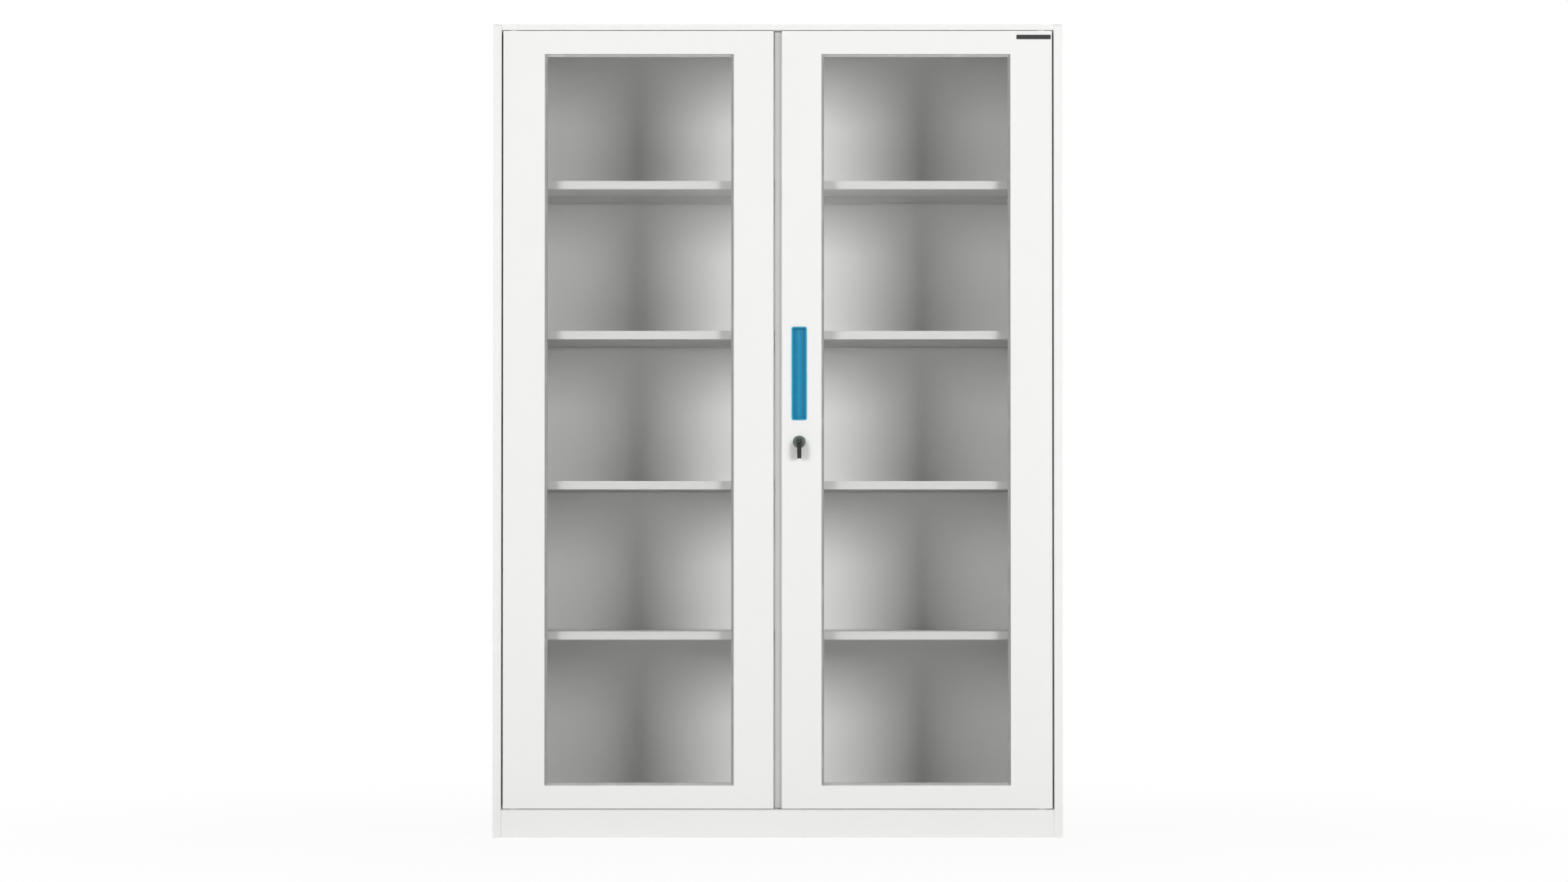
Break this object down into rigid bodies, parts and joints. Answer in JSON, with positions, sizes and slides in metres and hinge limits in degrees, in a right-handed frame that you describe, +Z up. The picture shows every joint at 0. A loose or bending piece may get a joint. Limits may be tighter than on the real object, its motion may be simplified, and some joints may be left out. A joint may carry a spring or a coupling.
{
  "type": "glass door medical cabinet",
  "caption": "Free-standing white sheet-steel cabinet with hinged glass doors, shelves on clips, a blue flush pull and a keyed rod lock, for medicine and supplies.",
  "frame": {"origin": "on the floor, under the centre of the whole footprint with the key in the lock", "axes": "+Z up, -Y out of the door fronts, +X to the right of someone facing the doors"},
  "size_m": [1.225, 0.423, 1.75],
  "materials": {
    "paint": "white powder coat, fine satin texture",
    "zinc": "bright zinc plate",
    "glass": "clear float glass",
    "gasket": "pale grey, matt",
    "nylon": "natural nylon",
    "catch_plastic": "moulded",
    "pull_plastic": "blue, satin moulded",
    "nickel": "nickel plate",
    "key_plastic": "black, moulded"
  },
  "bodies": {
    "carcass": {"left_side_panel": "paint", "right_side_panel": "paint", "top_panel": "paint", "floor_panel": "paint", "kick_plate": "paint", "rear_base_rail": "paint", "back_panel": "paint", "left_front_upright": "paint", "left_rear_upright": "paint", "right_front_upright": "paint", "right_rear_upright": "paint", "shelf_1": "paint", "shelf_2": "paint", "shelf_3": "paint", "shelf_4": "paint", "shelf_1_clip_left_front": "zinc", "shelf_1_clip_left_rear": "zinc", "shelf_1_clip_right_front": "zinc", "shelf_1_clip_right_rear": "zinc", "shelf_2_clip_left_front": "zinc", "shelf_2_clip_left_rear": "zinc", "shelf_2_clip_right_front": "zinc", "shelf_2_clip_right_rear": "zinc", "shelf_3_clip_left_front": "zinc", "shelf_3_clip_left_rear": "zinc", "shelf_3_clip_right_front": "zinc", "shelf_3_clip_right_rear": "zinc", "shelf_4_clip_left_front": "zinc", "shelf_4_clip_left_rear": "zinc", "shelf_4_clip_right_front": "zinc", "shelf_4_clip_right_rear": "zinc", "left_top_pivot_bush": "nylon", "left_bottom_pivot_bush": "nylon", "right_top_pivot_bush": "nylon", "right_bottom_pivot_bush": "nylon", "left_magnetic_catch": "catch_plastic", "right_magnetic_catch": "catch_plastic"},
    "left_door": {"left_door_frame": "paint", "left_door_back_cover": "paint", "left_door_glass": "glass", "left_door_gasket": "gasket", "left_top_pivot_pin": "zinc", "left_bottom_pivot_pin": "zinc"},
    "right_door": {"right_door_frame": "paint", "right_door_back_cover": "paint", "right_door_glass": "glass", "right_door_gasket": "gasket", "right_door_closing_lip": "paint", "door_pull": "pull_plastic", "lock_housing": "nickel", "lock_nut": "zinc", "right_top_pivot_pin": "zinc", "right_bottom_pivot_pin": "zinc"},
    "lock_cylinder": {"lock_plug": "nickel", "lock_cam": "zinc"},
    "upper_rod": {"upper_locking_rod": "zinc"},
    "lower_rod": {"lower_locking_rod": "zinc"},
    "key": {"key_blade": "nickel"},
    "key_bow": {"key_bow": "key_plastic"}
  },
  "joints": [
    {"name": "left_door_swing", "type": "hinge", "parent": "carcass", "child": "left_door", "pos_m": [-0.5689, -0.1775, 0.9], "axis": [0, 0, -1], "range_deg": [0, 110]},
    {"name": "right_door_swing", "type": "hinge", "parent": "carcass", "child": "right_door", "pos_m": [0.5689, -0.1775, 0.9], "axis": [0, 0, 1], "range_deg": [0, 110]},
    {"name": "lock_turn", "type": "hinge", "parent": "right_door", "child": "lock_cylinder", "pos_m": [0.0465, -0.1885, 0.85], "axis": [0, 1, 0], "range_deg": [0, 90]},
    {"name": "upper_rod_slide", "type": "slide", "parent": "right_door", "child": "upper_rod", "axis": [0, 0, 1], "range_m": [0, 0.01414]},
    {"name": "lower_rod_slide", "type": "slide", "parent": "right_door", "child": "lower_rod", "axis": [0, 0, -1], "range_m": [0, 0.0142]},
    {"name": "key_pull", "type": "slide", "parent": "lock_cylinder", "child": "key", "axis": [0, -1, 0], "range_m": [0, 0.03]},
    {"name": "key_fold", "type": "hinge", "parent": "key", "child": "key_bow", "pos_m": [0.0465, -0.2025, 0.85], "axis": [-1, 0, 0], "range_deg": [0, 90]}
  ],
  "couplings": [
    {"joint": "lock_turn", "follows": "upper_rod_slide", "rad_per_m": 111.02},
    {"joint": "lower_rod_slide", "follows": "upper_rod_slide", "ratio": 1}
  ]
}
